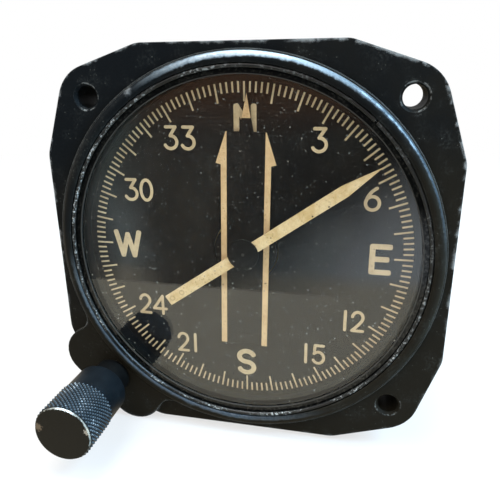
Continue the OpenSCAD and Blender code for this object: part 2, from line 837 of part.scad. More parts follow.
module setting_pinion() {
    color("goldenrod") place() on_diagonal(knob_r) difference() {
        slab(z_pinion_back, z_pinion) rotate(180) gear_outline(pinion_teeth);
        rod(shaft_d / 2 + seat_gap, z_pinion_back - cut, z_pinion + cut);
    }
}
module friction_washer() {
    inner = shaft_d / 2 + run_gap;
    outer = pinion_tip - washer_t;
    color("silver") place() on_diagonal(knob_r) translate([0, 0, z_pinion]) rotate_extrude()
        polygon([[inner, washer_h - washer_t], [inner, washer_h], [outer, washer_t], [outer, 0]]);
}
module knob_bushing() {
    color([0.12, 0.12, 0.12]) place() on_diagonal(knob_r) difference() {
        union() {
            rod(bushing_d / 2, z_pocket, collar_h);
            rod(nose_d / 2, collar_h, nose_top);
        }
        rod(shaft_d / 2 + run_gap, z_pocket - cut, nose_top + cut);
    }
}
module gear_cover() {
    z_back = z_pocket_back - gear_cover_t;
    color([0.08, 0.085, 0.085]) place() difference() {
        slab(z_back, z_pocket_back) ear_outline();
        rod(barrel_r + pass_gap, z_back - cut, z_pocket_back + cut);
        on_diagonal(knob_r) rod(pivot_d / 2 + run_gap, z_back - cut, z_pocket_back + cut);
        on_diagonal(knob_r) for (s = [-1, 1]) translate([0, s * cover_screw_at, 0])
            rod(screw_d / 2 + pass_gap / 2, z_back - cut, z_pocket_back + cut);
    }
}
module gear_cover_screws() {
    color("silver") place() on_diagonal(knob_r) for (s = [-1, 1])
        translate([0, s * cover_screw_at, z_pocket_back - gear_cover_t]) rotate([180, 0, 0])
            screw(gear_cover_t + cover_bite);
}

// Mechanism plate and what it carries
module mechanism_plate() {
    color([0.6, 0.6, 0.58]) place() difference() {
        rod(barrel_in - pass_gap / 2, z_plate_back, z_plate);
        rod(bush_r + seat_gap, z_plate_back - cut, z_plate + cut);
        for (a = plate_lug_angles)
            rotate([0, 0, a]) translate([plate_lug_at, 0, 0])
                rod(screw_d / 2 + pass_gap / 2, z_plate_back - cut, z_plate + cut);
        ring_of(3, housing_screw_at, housing_start)
            rod(screw_d / 2 + seat_gap, z_plate_back - cut, z_plate + cut);
    }
}
module plate_screws() {
    color("silver") place() for (a = plate_lug_angles)
        rotate([0, 0, a]) translate([plate_lug_at, 0, z_plate_back]) rotate([180, 0, 0])
            screw(plate_t + plate_bite);
}
module course_bushing() {
    color("goldenrod") place() difference() {
        union() {
            rod(bush_r, z_bush_back, z_plate);
            rod(bush_flange_r, z_plate, z_plate + bush_flange_t);
        }
        rod(sleeve_r + run_gap, z_bush_back - cut, z_plate + bush_flange_t + cut);
    }
}

// Movement: a ring core with coils round the rotor magnet, in a housing behind the plate
module movement_housing() {
    color([0.55, 0.56, 0.56]) place() difference() {
        union() {
            tube(housing_in, housing_d / 2, z_housing_back, z_plate_back);
            tube(housing_in, housing_flange_r, z_plate_back - housing_flange_t, z_plate_back);
            tube(pivot_bush_r + seat_gap, housing_d / 2 - housing_wall / 2, z_wall_back, z_wall);
        }
        ring_of(3, housing_screw_at, housing_start)
            rod(screw_d / 2 + pass_gap / 2, z_plate_back - housing_flange_t - cut, z_plate_back + cut);
        ring_of(3, tie_at, tie_start)
            rod(screw_d / 2 + seat_gap, z_plate_back - housing_flange_t - cut, z_plate_back + cut);
    }
}
module housing_screws() {
    color("silver") place() ring_of(3, housing_screw_at, housing_start)
        translate([0, 0, z_plate_back - housing_flange_t]) rotate([180, 0, 0])
            screw(housing_flange_t + plate_t - screw_short);
}
module ring_core() {
    color([0.3, 0.3, 0.32]) place()
        tube(core_r - core_w, core_r, magnet_mid - core_h / 2, magnet_mid + core_h / 2);
}
module core_coils() {
    share = 360 / coil_count;
    inner = core_r - core_w;
    slack = run_gap;
    color([0.72, 0.4, 0.2]) place() for (i = [0 : coil_count - 1])
        rotate([0, 0, i * share]) translate([0, 0, magnet_mid]) rotate_extrude(angle = share * coil_fill)
            difference() {
                translate([inner - winding_t, -core_h / 2 - winding_t])
                    square([core_w + 2 * winding_t, core_h + 2 * winding_t]);
                translate([inner - slack, -core_h / 2 - slack])
                    square([core_w + 2 * slack, core_h + 2 * slack]);
            }
}
module front_bearing() {
    color("firebrick") place() tube(rotor_d / 2 + run_gap, pivot_bush_r, z_wall_back, z_wall);
}
module bearing_plate() {
    color([0.35, 0.2, 0.12]) place() difference() {
        rod(housing_d / 2, z_bearing_plate, z_housing_back);
        rod(pivot_bush_r + seat_gap, z_bearing_plate - cut, z_housing_back + cut);
        ring_of(contacts, post_at, 90)
            rod(post_d / 2 + seat_gap, z_bearing_plate - cut, z_housing_back + cut);
    }
}
module rear_bearing() {
    color("firebrick") place() difference() {
        rod(pivot_bush_r, z_bearing_plate, z_housing_back);
        rod(rotor_d / 2 + run_gap, z_rotor_back - pass_gap / 2, z_housing_back + cut);
    }
}
module bearing_plate_screws() {
    color("silver") place() ring_of(3, tie_at, tie_start)
        translate([0, 0, z_bearing_plate]) rotate([180, 0, 0])
            screw(housing_l + bearing_wall - screw_short, screw_d, tie_head_d, screw_head_h);
}
module terminal_posts() {
    color("gold") place() ring_of(contacts, post_at, 90)
        rod(post_d / 2, z_post, z_housing_back + post_rivet);
}

// Wires from the contacts to the terminal posts, each one swept along a smooth S
function bezier(p, t) =
    pow(1 - t, 3) * p[0] + 3 * t * pow(1 - t, 2) * p[1]
    + 3 * t * t * (1 - t) * p[2] + pow(t, 3) * p[3];
module wire(p) {
    sides = 8;
    rings = 12;
    pull = 0.001;
    skin = [
        for (j = [0 : rings])
            let (
                t = j / rings,
                c = bezier(p, t),
                along = unit(bezier(p, min(1, t + pull)) - bezier(p, max(0, t - pull))),
                side = [0, 1, 0],
                up = cross(along, side)
            )
            for (i = [0 : sides - 1])
                c + wire_d / 2 * (cos(360 * i / sides) * up + sin(360 * i / sides) * side)
    ];
    function at(i, j) = j * sides + i % sides;
    walls = [
        for (j = [0 : rings - 1])
            for (i = [0 : sides - 1])
                each [
                    [at(i, j), at(i, j + 1), at(i + 1, j)],
                    [at(i + 1, j), at(i, j + 1), at(i + 1, j + 1)]
                ]
    ];
    ends = [
        [for (i = [0 : sides - 1]) i],
        [for (i = [sides - 1 : -1 : 0]) rings * sides + i]
    ];
    polyhedron(skin, concat(walls, ends));
}
module lead_wires() {
    lean = 3;
    start = [contact_pcd / 2, 0, z_contact_front];
    stop = [post_at, 0, z_post];
    color([0.6, 0.55, 0.4]) place() ring_of(contacts, 0, 90)
        wire([start, start + [0, 0, lean], stop - [0, 0, lean], stop]);
}

// Rear cover and connector
module rear_gasket() {
    color([0.05, 0.05, 0.05]) place() difference() {
        tube(rear_lug_at - lug_r, barrel_r, z_cover, z_barrel_back);
        ring_of(rear_screws, rear_lug_at, rear_start)
            rod(screw_d / 2 + pass_gap / 2, z_cover - cut, z_barrel_back + cut);
    }
}
module conn_hole_pattern() {
    for (x = [-1, 1])
        for (y = [-1, 1])
            translate([x * conn_screw_pitch / 2, y * conn_screw_pitch / 2, 0]) children();
}
module rear_cover() {
    color([0.07, 0.075, 0.075]) place() difference() {
        union() {
            rod(barrel_r, z_cover_back + rear_chamfer, z_cover);
            translate([0, 0, z_cover_back])
                cylinder(r1 = barrel_r - rear_chamfer, r2 = barrel_r, h = rear_chamfer);
            rod(rear_seat_d / 2, z_conn, z_cover_back);
        }
        rod(conn_body_r + pass_gap / 2, z_conn - cut, z_cover + cut);
        ring_of(rear_screws, rear_lug_at, rear_start)
            rod(screw_d / 2 + pass_gap / 2, z_cover_back - cut, z_cover + cut);
        conn_hole_pattern() rod(screw_d / 2 + seat_gap, z_conn - cut, z_cover + cut);
    }
}
module rear_cover_screws() {
    color("silver") place() ring_of(rear_screws, rear_lug_at, rear_start)
        translate([0, 0, z_cover_back]) rotate([180, 0, 0])
            screw(rear_cover_t + rear_gasket_t + lug_bite);
}
module connector_shell() {
    color([0.62, 0.63, 0.62]) place() difference() {
        union() {
            slab(z_conn_back, z_conn) square(conn_w, center = true);
            rod(shell_d / 2, z_shell_back, z_conn_back);
            rod(conn_body_r, z_conn, z_conn + conn_neck_l);
        }
        rod(shell_in, z_shell_back - cut, z_conn + conn_neck_l + cut);
        translate([-key_w / 2, shell_in + key_depth - key_w, z_shell_back - cut])
            cube([key_w, key_w, recess_l + cut]);
        conn_hole_pattern() rod(screw_d / 2 + pass_gap / 2, z_conn_back - cut, z_conn + cut);
    }
}
module connector_screws() {
    color("silver") place() conn_hole_pattern()
        translate([0, 0, z_conn_back]) rotate([180, 0, 0])
            screw(conn_t + rear_seat_h + rear_cover_t - screw_short);
}
module connector_insert() {
    color([0.25, 0.13, 0.08]) place() difference() {
        rod(shell_in - seat_gap, z_insert_back, z_conn + conn_neck_l);
        ring_of(contacts, contact_pcd / 2, 90)
            rod(contact_d / 2 + seat_gap, z_insert_back - cut, z_conn + conn_neck_l + cut);
    }
}
module connector_contacts() {
    color("gold") place() ring_of(contacts, contact_pcd / 2, 90)
        rod(contact_d / 2, z_shell_back + contact_sunk, z_contact_front);
}

case_body();
cover_glass();
glass_gasket();
snap_ring();
spacer_ring();
dial_plate();
needle();
needle_hub();
rotor_shaft();
rotor_magnet();
course_pointer();
course_sleeve();
course_gear();
sleeve_clip();
idler_gear();
idler_stud();
setting_knob();
knob_set_screw();
knob_shaft();
setting_pinion();
friction_washer();
knob_bushing();
gear_cover();
gear_cover_screws();
mechanism_plate();
plate_screws();
course_bushing();
movement_housing();
housing_screws();
ring_core();
core_coils();
front_bearing();
rear_bearing();
bearing_plate();
bearing_plate_screws();
terminal_posts();
lead_wires();
rear_gasket();
rear_cover();
rear_cover_screws();
connector_shell();
connector_screws();
connector_insert();
connector_contacts();
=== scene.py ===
import json
import math

import bpy
from mathutils import Matrix, Vector


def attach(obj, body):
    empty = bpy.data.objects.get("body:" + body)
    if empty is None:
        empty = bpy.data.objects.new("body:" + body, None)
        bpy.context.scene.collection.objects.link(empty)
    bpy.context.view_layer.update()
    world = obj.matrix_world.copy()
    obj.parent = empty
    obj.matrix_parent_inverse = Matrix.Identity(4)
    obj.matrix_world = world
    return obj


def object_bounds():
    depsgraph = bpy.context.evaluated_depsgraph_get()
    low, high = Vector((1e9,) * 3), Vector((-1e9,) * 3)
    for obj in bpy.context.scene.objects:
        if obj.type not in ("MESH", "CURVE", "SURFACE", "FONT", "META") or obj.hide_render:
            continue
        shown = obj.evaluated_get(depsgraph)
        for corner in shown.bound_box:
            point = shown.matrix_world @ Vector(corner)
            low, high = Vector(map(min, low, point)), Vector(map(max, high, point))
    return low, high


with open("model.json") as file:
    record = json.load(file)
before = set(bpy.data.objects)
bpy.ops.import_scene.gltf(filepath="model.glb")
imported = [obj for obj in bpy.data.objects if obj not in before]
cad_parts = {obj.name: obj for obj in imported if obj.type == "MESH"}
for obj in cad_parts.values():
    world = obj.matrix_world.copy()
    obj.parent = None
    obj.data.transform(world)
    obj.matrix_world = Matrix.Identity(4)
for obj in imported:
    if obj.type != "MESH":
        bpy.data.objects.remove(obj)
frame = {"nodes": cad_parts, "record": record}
cad_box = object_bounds()
node = frame["nodes"]

MM = 0.001

# Sizes as the part has them, in millimetres. Depths behind the flange's front face:
DIAL_FACE = 4.24
COURSE_FACE = 3.44

# Heights in front of it:
GLASS_FRONT = 0.5
BEAD_FOOT = 1.1
WIRE_MIDDLE = 1.25
KNURL_BACK = 13.8
KNOB_FRONT = 22.85

# Radii about the dial's axis:
GASKET_IN = 35.5
BORE_R = 37.0
COLLAR_R = 39.9

# How far the fixing holes and the knob's axis are from the dial's axis, sideways and up or down
CORNER = 31.431

# The radius of a fixing hole's rim
HOLE_RIM = 2.6

# The heading that the course lines are set to, in degrees
COURSE_AZ = 1.1

# Thickness of the paint
PAINT = 0.03


# Finishes


class Socket:
    """An output of a node. Arithmetic on it adds Math nodes to the same finish."""

    def __init__(self, tree, output=None):
        self.tree = tree
        self.output = output

    def node(self, kind, settings=None, values=None, take=0):
        """Adds a node: its settings first, then the values or links of its sockets."""
        made = self.tree.nodes.new(kind)
        for name, value in (settings or {}).items():
            setattr(made, name, value)
        for name, value in (values or {}).items():
            if isinstance(value, Socket):
                self.tree.links.new(value.output, made.inputs[name])
            else:
                made.inputs[name].default_value = value
        return Socket(self.tree, None if take is None else made.outputs[take])

    def math(self, operation, *others):
        values = dict(enumerate((self, *others)))
        return self.node("ShaderNodeMath", {"operation": operation}, values)

    def __add__(self, other):
        return self.math("ADD", other)

    def __sub__(self, other):
        return self.math("SUBTRACT", other)

    def __rsub__(self, other):
        return self * -1 + other

    def __mul__(self, other):
        return self.math("MULTIPLY", other)

    __radd__ = __add__
    __rmul__ = __mul__

    def step(self, low, high):
        """0 below low, 1 above high and smooth between them."""
        limits = {"Value": self, "From Min": low, "From Max": high}
        return self.node("ShaderNodeMapRange", {"interpolation_type": "SMOOTHSTEP"}, limits)

    def tint(self, at_none, at_full):
        """The colour between two colours that this value picks."""
        values = {0: self, 6: at_none, 7: at_full}
        return self.node("ShaderNodeMix", {"data_type": "RGBA"}, values, take=2)

    def mixed(self, at_none, at_full):
        """The shader between two shaders that this value picks."""
        return self.node("ShaderNodeMixShader", None, {0: self, 1: at_none, 2: at_full})

    def noise(self, size, detail=3.0, rough=0.5):
        """Cloudy noise whose lumps are about size millimetres wide, for a place."""
        values = {"Vector": self, "Scale": 1 / size, "Detail": detail, "Roughness": rough}
        return self.node("ShaderNodeTexNoise", None, values)

    def dots(self, size, inner, outer, ways="3D"):
        """Scattered dots about size millimetres apart; inner and outer are shares of size."""
        values = {"Vector": self, "Scale": 1 / size}
        away = self.node("ShaderNodeTexVoronoi", {"voronoi_dimensions": ways}, values)
        return 1 - away.step(inner, outer)

    def stretched(self, along):
        """The place with each axis multiplied by a number."""
        return self.node("ShaderNodeVectorMath", {"operation": "MULTIPLY"}, {0: self, 1: along})

    def parts(self):
        """The three numbers of a place."""
        return [self.node("ShaderNodeSeparateXYZ", None, {0: self}, take=axis) for axis in "XYZ"]

    def facing(self):
        """The place as it lies on a face that looks along Y."""
        across, _, up = self.parts()
        return self.node("ShaderNodeCombineXYZ", None, {"X": across, "Y": up})

    def ahead(self):
        """How far a place is in front of the flange's front face, in millimetres."""
        return 0 - self.parts()[1]

    def around(self, across, up):
        """How far a place is from a line along Y, in millimetres."""
        x, _, z = self.parts()
        return ((x - across) * (x - across) + (z - up) * (z - up)).math("SQRT")


def rgb(red, green, blue):
    """A linear colour from 0 to 255 display values."""
    def linear(c):
        c /= 255
        return c / 12.92 if c <= 0.04045 else ((c + 0.055) / 1.055) ** 2.4
    return (linear(red), linear(green), linear(blue), 1.0)


def new_finish(name):
    """An empty material and the place on its piece, in millimetres."""
    material = bpy.data.materials.new(name)
    material.use_nodes = True
    material.node_tree.nodes.clear()
    metres = Socket(material.node_tree).node("ShaderNodeTexCoord", take="Object")
    return material, metres.stretched((1 / MM,) * 3)


def close(place, shader):
    """Makes a shader the surface of its finish."""
    place.node("ShaderNodeOutputMaterial", None, {"Surface": shader}, take=None)


def surface(place, **values):
    """Closes a finish with one Principled shader."""
    named = {name.replace("_", " "): value for name, value in values.items()}
    close(place, place.node("ShaderNodeBsdfPrincipled", None, named))


def relief(place, height, depth, strength, normal=None):
    """A bump of so many millimetres."""
    values = {"Strength": strength, "Distance": depth * MM, "Height": height}
    if normal is not None:
        values["Normal"] = normal
    return place.node("ShaderNodeBump", None, values)


def soft_edge(place, radius):
    """The normal with each edge rounded by so many millimetres, and how near an edge is."""
    rounded = place.node("ShaderNodeBevel", {"samples": 6}, {"Radius": radius * MM})
    flat = place.node("ShaderNodeNewGeometry", take="Normal")
    pair = {0: rounded, 1: flat}
    agree = place.node("ShaderNodeVectorMath", {"operation": "DOT_PRODUCT"}, pair, take="Value")
    return rounded, 1 - agree


# The bead's band of painted highlight begins and ends at these radii, before it leans to one side
BAND_IN = 37.95
BAND_OUT = 38.95

# A knock on the bead at the upper left
KNOCK = (-21.6, 32.6)


def case_black():
    material, place = new_finish("case_black_paint")
    normal, edge = soft_edge(place, 0.3)
    wide_edge = soft_edge(place, 1.2)[1]
    across, _, up = place.parts()
    lean = across + up
    from_axis = place.around(0, 0)
    quadrant = place.node("ShaderNodeVectorMath", {"operation": "ABSOLUTE"}, {0: place})
    from_hole = quadrant.around(CORNER, CORNER)
    off_hole = from_hole.step(HOLE_RIM + 0.3, HOLE_RIM + 0.7)
    bead = place.ahead().step(BEAD_FOOT + 0.02, BEAD_FOOT + 0.15)

    broad = place.noise(17, 3)
    cloud = place.noise(4.5, 6, 0.65)
    flake = place.noise(1.2, 4, 0.65)
    grain = place.noise(0.5, 4, 0.6)
    speck = place.dots(0.8, 0.06, 0.15) * cloud.step(0.48, 0.62)
    dust = cloud.step(0.48, 0.76) * grain.step(0.4, 0.7)

    # Edges, less on the bead and in the holes
    worn = (edge * 1.8 + cloud * 0.5 + grain * 0.25).step(0.48, 0.62)
    worn = worn * (off_hole * 0.7 + 0.3) * (1 - bead * 0.8)

    # Painted highlight on the bead, pale at the top and bluish grey elsewhere, under a glossier
    # coat: on its outer slope at the upper right and on its inner slope at the lower left
    ragged = from_axis + flake * 0.8 - 0.4
    past_in = ragged - lean * 0.016 - across.step(22, 38) * 0.5 - BAND_IN
    before_out = lean * 0.02 - ragged + BAND_OUT
    sheen_band = bead * (across * 0.6 + up * 1.1).math("ABSOLUTE").step(22, 46)
    sheen_band = sheen_band * past_in.step(-0.2, 0.2) * before_out.step(-0.2, 0.3)
    bare_and_sheen = (up - across * 0.8).step(5, 36).tint(rgb(58, 70, 80), rgb(166, 180, 188))
    polish = 0.2 + (flake * 0.7 + grain * 0.3).step(0.38, 0.62) * 0.85

    # The bead's inner lip, and one knock
    lip = bead * (1 - from_axis.step(BORE_R + 0.25, BORE_R + 0.5))
    lip = lip * (flake + cloud * 0.4 - lean * 0.001).step(0.65, 0.74)
    knock = bead * (1 - (place.around(*KNOCK) + grain * 2.4).step(1.0, 2.4)) * 0.35

    # Chips along the flange's outer edges, most of them on the upper ones
    chipped = (place.noise(2.2, 4, 0.6) + wide_edge * 1.2 + lean * 0.001).step(0.62, 0.72)
    chipped = chipped * cloud.step(0.46, 0.56) * wide_edge.step(0.008, 0.03)
    chipped = chipped * from_axis.step(COLLAR_R + 0.4, COLLAR_R + 1.1) * off_hole
    chipped = chipped * (up.step(-25, 5) * 0.75 + 0.25)

    # Rims of the holes
    rim = 1 - (from_hole - HOLE_RIM).math("ABSOLUTE").step(0.08, 0.22)
    rim = rim * (cloud + grain * 0.4).step(0.68, 0.8)

    # Blue-black towards the top and left, brown towards the bottom and right, in broad patches
    warm = broad * 0.6 + across * 0.003 - up * 0.006 + 0.3
    colour = warm.step(0.3, 0.7).tint(rgb(10, 13, 15), rgb(24, 21, 15))
    colour = (dust * 0.5).tint(colour, rgb(58, 58, 54))
    colour = (speck * 0.55).tint(colour, rgb(104, 102, 94))
    colour = (worn * 0.5).tint(colour, rgb(112, 112, 108))
    # Painted highlight on the bead's band
    colour = (sheen_band * (cloud * 0.6 + grain * 0.5)).tint(colour, bare_and_sheen)
    colour = ((lip + knock).math("MINIMUM", 1.0) * 0.8).tint(colour, rgb(168, 170, 170))
    colour = (chipped * 0.7).tint(colour, rgb(150, 149, 146))
    colour = (rim * 0.35).tint(colour, rgb(150, 148, 142))
    surface(
        place,
        Base_Color=colour,
        Roughness=0.45 + cloud * 0.2 + dust * 0.2,
        Specular_IOR_Level=0.05,
        Coat_Weight=(sheen_band * (1.2 - across * 0.02) * polish).math("MINIMUM", 1.0),
        Coat_Roughness=0.3,
        Coat_IOR=1.65,
        Normal=relief(place, grain, 0.05, 0.6, normal),
    )
    return material


def plain_black(name, dark, pale, rough, worn, gloss=0.04, scuffed=0.0):
    material, place = new_finish(name)
    normal, edge = soft_edge(place, 0.15)
    cloud = place.noise(6, 5, 0.6)
    grain = place.noise(0.4, 3)
    speck = place.dots(2.3, 0.03, 0.08) * cloud.step(0.45, 0.6)
    colour = cloud.step(0.3, 0.75).tint(rgb(*dark), rgb(*pale))
    colour = (speck * 0.7 + edge.step(0.04, 0.2) * worn).tint(colour, rgb(118, 112, 98))
    if scuffed:
        across, _, up = place.parts()
        flake = place.noise(0.5, 4, 0.65).step(0.5, 0.64) * cloud.step(0.44, 0.56)
        flake = flake * place.ahead().step(WIRE_MIDDLE + 0.05, WIRE_MIDDLE + 0.2)
        flake = flake * (1 - (across + up).step(5, 45) * 0.8)
        colour = (flake * scuffed).tint(colour, rgb(176, 176, 172))
    surface(
        place,
        Base_Color=colour,
        Roughness=rough * (0.85 + cloud * 0.3),
        Specular_IOR_Level=gloss,
        Normal=relief(place, grain, 0.02, 0.5, normal),
    )
    return material


def gasket_black():
    """Polished in its lower half and dull in its upper half."""
    material, place = new_finish("gasket_rubber")
    normal = soft_edge(place, 0.14)[0]
    across, _, up = place.parts()
    cloud = place.noise(6, 5, 0.6)
    grain = place.noise(0.4, 3)
    dust = place.noise(0.5, 4, 0.65)
    from_axis = place.around(0, 0) + dust * 0.2
    # A pale line along the inner edge: a painted highlight
    edge_highlight = 1 - from_axis.step(GASKET_IN + 0.2, GASKET_IN + 0.35)
    lower_half = (across * 0.243 - up + 1.05).step(-3, 3)
    colour = cloud.step(0.3, 0.75).tint(rgb(4, 4, 4), rgb(8, 8, 7))
    colour = (dust.step(0.5, 0.7) * 0.3).tint(colour, rgb(70, 66, 58))
    colour = (edge_highlight * 0.18).tint(colour, rgb(118, 112, 104))
    surface(
        place,
        Base_Color=colour,
        Roughness=0.5 + cloud * 0.2,
        Specular_IOR_Level=0.02,
        Coat_Weight=lower_half * (0.2 + dust.step(0.3, 0.7) * 0.6),
        Coat_Roughness=0.06,
        Normal=relief(place, grain, 0.02, 0.05, normal),
    )
    return material


def aged_cream(name, fresh, aged, pits, stains=()):
    material, place = new_finish(name)
    flat = place.facing()
    cloud = flat.noise(6, 4, 0.6)
    mottle = flat.noise(0.9, 4, 0.6)
    pit = flat.dots(0.9, 0.08, 0.24, "2D") * flat.noise(2.6, 3).step(0.48, 0.62) * pits
    hole = flat.dots(3.6, 0.03, 0.065, "2D") * flat.noise(7, 2).step(0.44, 0.52) * pits
    colour = (cloud * 0.8 + mottle * 0.4).step(0.4, 0.8).tint(rgb(*fresh), rgb(*aged))
    colour = (pit * 0.6).tint(colour, rgb(128, 100, 58))
    for at in stains:
        ring = 1 - (place.around(*at) - 0.5).math("ABSOLUTE").step(0.05, 0.25)
        colour = (ring * 0.5).tint(colour, rgb(140, 110, 66))
    colour = hole.tint(colour, rgb(40, 34, 28))
    surface(
        place,
        Base_Color=colour,
        Roughness=0.55 + mottle * 0.2,
        Specular_IOR_Level=0.2,
        Normal=relief(place, mottle - pit - hole, 0.03, 0.5),
    )
    return material


# A painted highlight and two chips of wear on the rim of the knob's front face
RIM_GLINT = (-30.2, -25.6)
BROWN_CHIP = (-36.6, -30.4)
PALE_CHIP = (-25.9, -30.0)


def knob_black():
    material, place = new_finish("knob_black")
    normal = soft_edge(place, 0.2)[0]
    across, _, up = place.parts()
    from_axis = place.around(-CORNER, -CORNER)
    front = place.ahead().step(KNOB_FRONT - 0.35, KNOB_FRONT - 0.25)
    knurled = place.ahead().step(KNURL_BACK - 0.1, KNURL_BACK)
    cloud = place.noise(3.0, 5, 0.6)
    grain = place.noise(0.4, 3)
    # Paler bluish crests on the knurl: a painted highlight of a blue light
    crest_sheen = knurled * (from_axis + cloud * 0.1).step(6.13, 6.3)
    bare_and_sheen = knurled * (from_axis * 0.7 + cloud * 0.5 + grain * 0.3).step(4.77, 4.9)
    rim = from_axis + (across + up + 2 * CORNER) * 0.02 + cloud * 1.2 + grain * 0.5
    rim = front * rim.step(6.72, 6.9)
    # A painted highlight at the top of the front face's rim
    rim_glint = front * (from_axis + grain * 0.5).step(5.95, 6.1)
    rim_glint = rim_glint * (1 - place.around(*RIM_GLINT).step(1.4, 2.2))
    brown_chip = front * (1 - (place.around(*BROWN_CHIP) + grain * 2.4).step(1.7, 2.3))
    pale_chip = front * (1 - (place.around(*PALE_CHIP) + grain * 2.2).step(1.5, 2.0))
    # Bluish black, the faint blue a painted sheen, with the crests' painted highlight
    colour = cloud.step(0.3, 0.7).tint(rgb(8, 12, 15), rgb(13, 17, 20))
    colour = front.tint(colour, rgb(24, 20, 13))
    colour = (crest_sheen * 0.5).tint(colour, rgb(78, 88, 95))
    colour = (bare_and_sheen * 0.5).tint(colour, rgb(190, 192, 192))
    colour = (rim * 0.7).tint(colour, rgb(140, 136, 126))
    colour = (brown_chip * 0.6).tint(colour, rgb(112, 92, 70))
    colour = (pale_chip * 0.7).tint(colour, rgb(158, 144, 126))
    colour = rim_glint.tint(colour, rgb(206, 204, 198))
    surface(
        place,
        Base_Color=colour,
        Roughness=0.36 + cloud * 0.18,
        Specular_IOR_Level=0.08,
        Normal=relief(place, grain, 0.03, 0.5, normal),
    )
    return material


# Brushed and turned metal is streaked along the dial's axis
STREAK = (1.0, 0.08, 1.0)


def metal(name, pale, dark, rough):
    material, place = new_finish(name)
    normal, edge = soft_edge(place, 0.12)
    brushed = place.stretched(STREAK).noise(0.5, 4, 0.6)
    cloud = place.noise(4, 4)
    colour = (cloud * 0.7 + brushed * 0.4).step(0.3, 0.8).tint(rgb(*pale), rgb(*dark))
    surface(
        place,
        Base_Color=colour,
        Roughness=rough + brushed * 0.15 + edge.step(0.2, 0.6) * 0.1,
        Metallic=1.0,
        Normal=relief(place, brushed, 0.01, 0.5, normal),
    )
    return material


def moulded(name, pale, dark, rough):
    material, place = new_finish(name)
    normal, edge = soft_edge(place, 0.15)
    cloud = place.noise(3, 5, 0.6)
    grain = place.noise(0.35, 3)
    colour = (cloud + edge * 0.5).step(0.3, 0.8).tint(rgb(*dark), rgb(*pale))
    surface(
        place,
        Base_Color=colour,
        Roughness=rough + grain * 0.15,
        Normal=relief(place, grain, 0.02, 0.5, normal),
    )
    return material


def wound_copper():
    material, place = new_finish("coil_copper")
    across, depth, _ = place.parts()
    turns = ((depth + across * 0.05) * 16).math("SINE")
    cloud = place.noise(2.5, 3)
    colour = (cloud * 0.6 + turns * 0.2 + 0.2).step(0.1, 0.8)
    colour = colour.tint(rgb(120, 62, 30), rgb(196, 116, 62))
    surface(
        place,
        Base_Color=colour,
        Roughness=0.35 + cloud * 0.15,
        Metallic=0.8,
        Normal=relief(place, turns, 0.08, 0.6),
    )
    return material


def seen(start):
    """1 where the eye, a mirror or a glass looks, and 0 for light that falls on something."""
    eye, mirror, glass = [
        start.node("ShaderNodeLightPath", take=f"Is {ray} Ray")
        for ray in ("Camera", "Glossy", "Transmission")
    ]
    return (eye + mirror + glass).math("MINIMUM", 1.0)


GLASS_IOR = 1.5


def clear_glass():
    """Bends what is seen through it, mirrors what its angle gives and shades nothing."""
    material, place = new_finish("window_glass")
    clear = place.node("ShaderNodeBsdfTransparent", None, {"Color": (0.93, 0.94, 0.935, 1)})
    bending = {"Color": (0.98, 0.99, 0.985, 1), "Roughness": 0.0, "IOR": GLASS_IOR}
    bent = place.node("ShaderNodeBsdfRefraction", None, bending)
    mirroring = {"Color": (1, 1, 1, 1), "Roughness": 0.0}
    mirror = place.node("ShaderNodeBsdfAnisotropic", None, mirroring)
    film = place.node("ShaderNodeBsdfDiffuse", None, {"Color": rgb(176, 172, 158)})
    pane = place.node("ShaderNodeFresnel", None, {"IOR": GLASS_IOR}).mixed(bent, mirror)

    # Smears, and dust that lies on the front face alone and thicker low down
    flat = place.facing()
    smear = place.noise(9, 5, 0.6)
    mote = flat.dots(3.2, 0.03, 0.06, "2D") * (smear.step(0.35, 0.6) * 0.6 + 0.4)
    fine = flat.dots(1.4, 0.04, 0.09, "2D") * place.noise(5, 2).step(0.4, 0.65)
    outside = place.ahead().step(GLASS_FRONT - 0.3, GLASS_FRONT - 0.1)
    low = 1 + (0 - place.parts()[2]).step(0, 10) * 1.3
    haze = smear.step(0.45, 0.9) * 0.012 + (mote * 0.28 + fine * 0.2) * low * outside
    close(place, seen(place).mixed(clear, haze.mixed(pane, film)))
    return material


# Two ring-shaped stains near the end of the needle's tail
NEEDLE_STAINS = ((-16.07, -11.2), (-13.86, -9.67))

FINISHES = {
    "case_paint": case_black(),
    "window_glass": clear_glass(),
    "gasket_rubber": gasket_black(),
    "ring_black": plain_black("ring_black", (7, 7, 7), (15, 15, 14), 0.6, 0.3),
    "dial_black": plain_black("dial_black", (15, 13, 12), (25, 21, 17), 0.7, 0.1),
    "marking_paint": aged_cream(
        "marking_paint", (216, 183, 139), (188, 150, 96), 1.0, NEEDLE_STAINS
    ),
    "knob_black": knob_black(),
    "steel": metal("steel", (176, 174, 168), (120, 118, 112), 0.3),
    "gear_brass": metal("gear_brass", (204, 170, 98), (150, 116, 58), 0.28),
    "contact_brass": metal("contact_brass", (222, 186, 104), (178, 140, 70), 0.2),
    "magnet_iron": metal("magnet_iron", (120, 120, 124), (78, 78, 82), 0.4),
    "coil_copper": wound_copper(),
    "plain_aluminium": metal("plain_aluminium", (188, 190, 188), (138, 140, 138), 0.36),
    "bearing_stone": moulded("bearing_stone", (176, 44, 60), (120, 20, 36), 0.15),
    "brown_phenolic": moulded("brown_phenolic", (84, 50, 30), (46, 26, 16), 0.4),
    "wire_cover": moulded("wire_cover", (176, 160, 122), (126, 112, 82), 0.75),
}
line_paint = aged_cream("line_paint", (209, 168, 121), (188, 147, 101), 0.8)
letter_paint = aged_cream("letter_paint", (203, 173, 133), (179, 149, 110), 0.2)
ring_wire = plain_black(
    "ring_wire", (12, 12, 11), (20, 20, 18), 0.4, 0.6, gloss=0.35, scuffed=0.9
)
shaft_end = metal("shaft_end", (74, 72, 68), (44, 43, 40), 0.4)

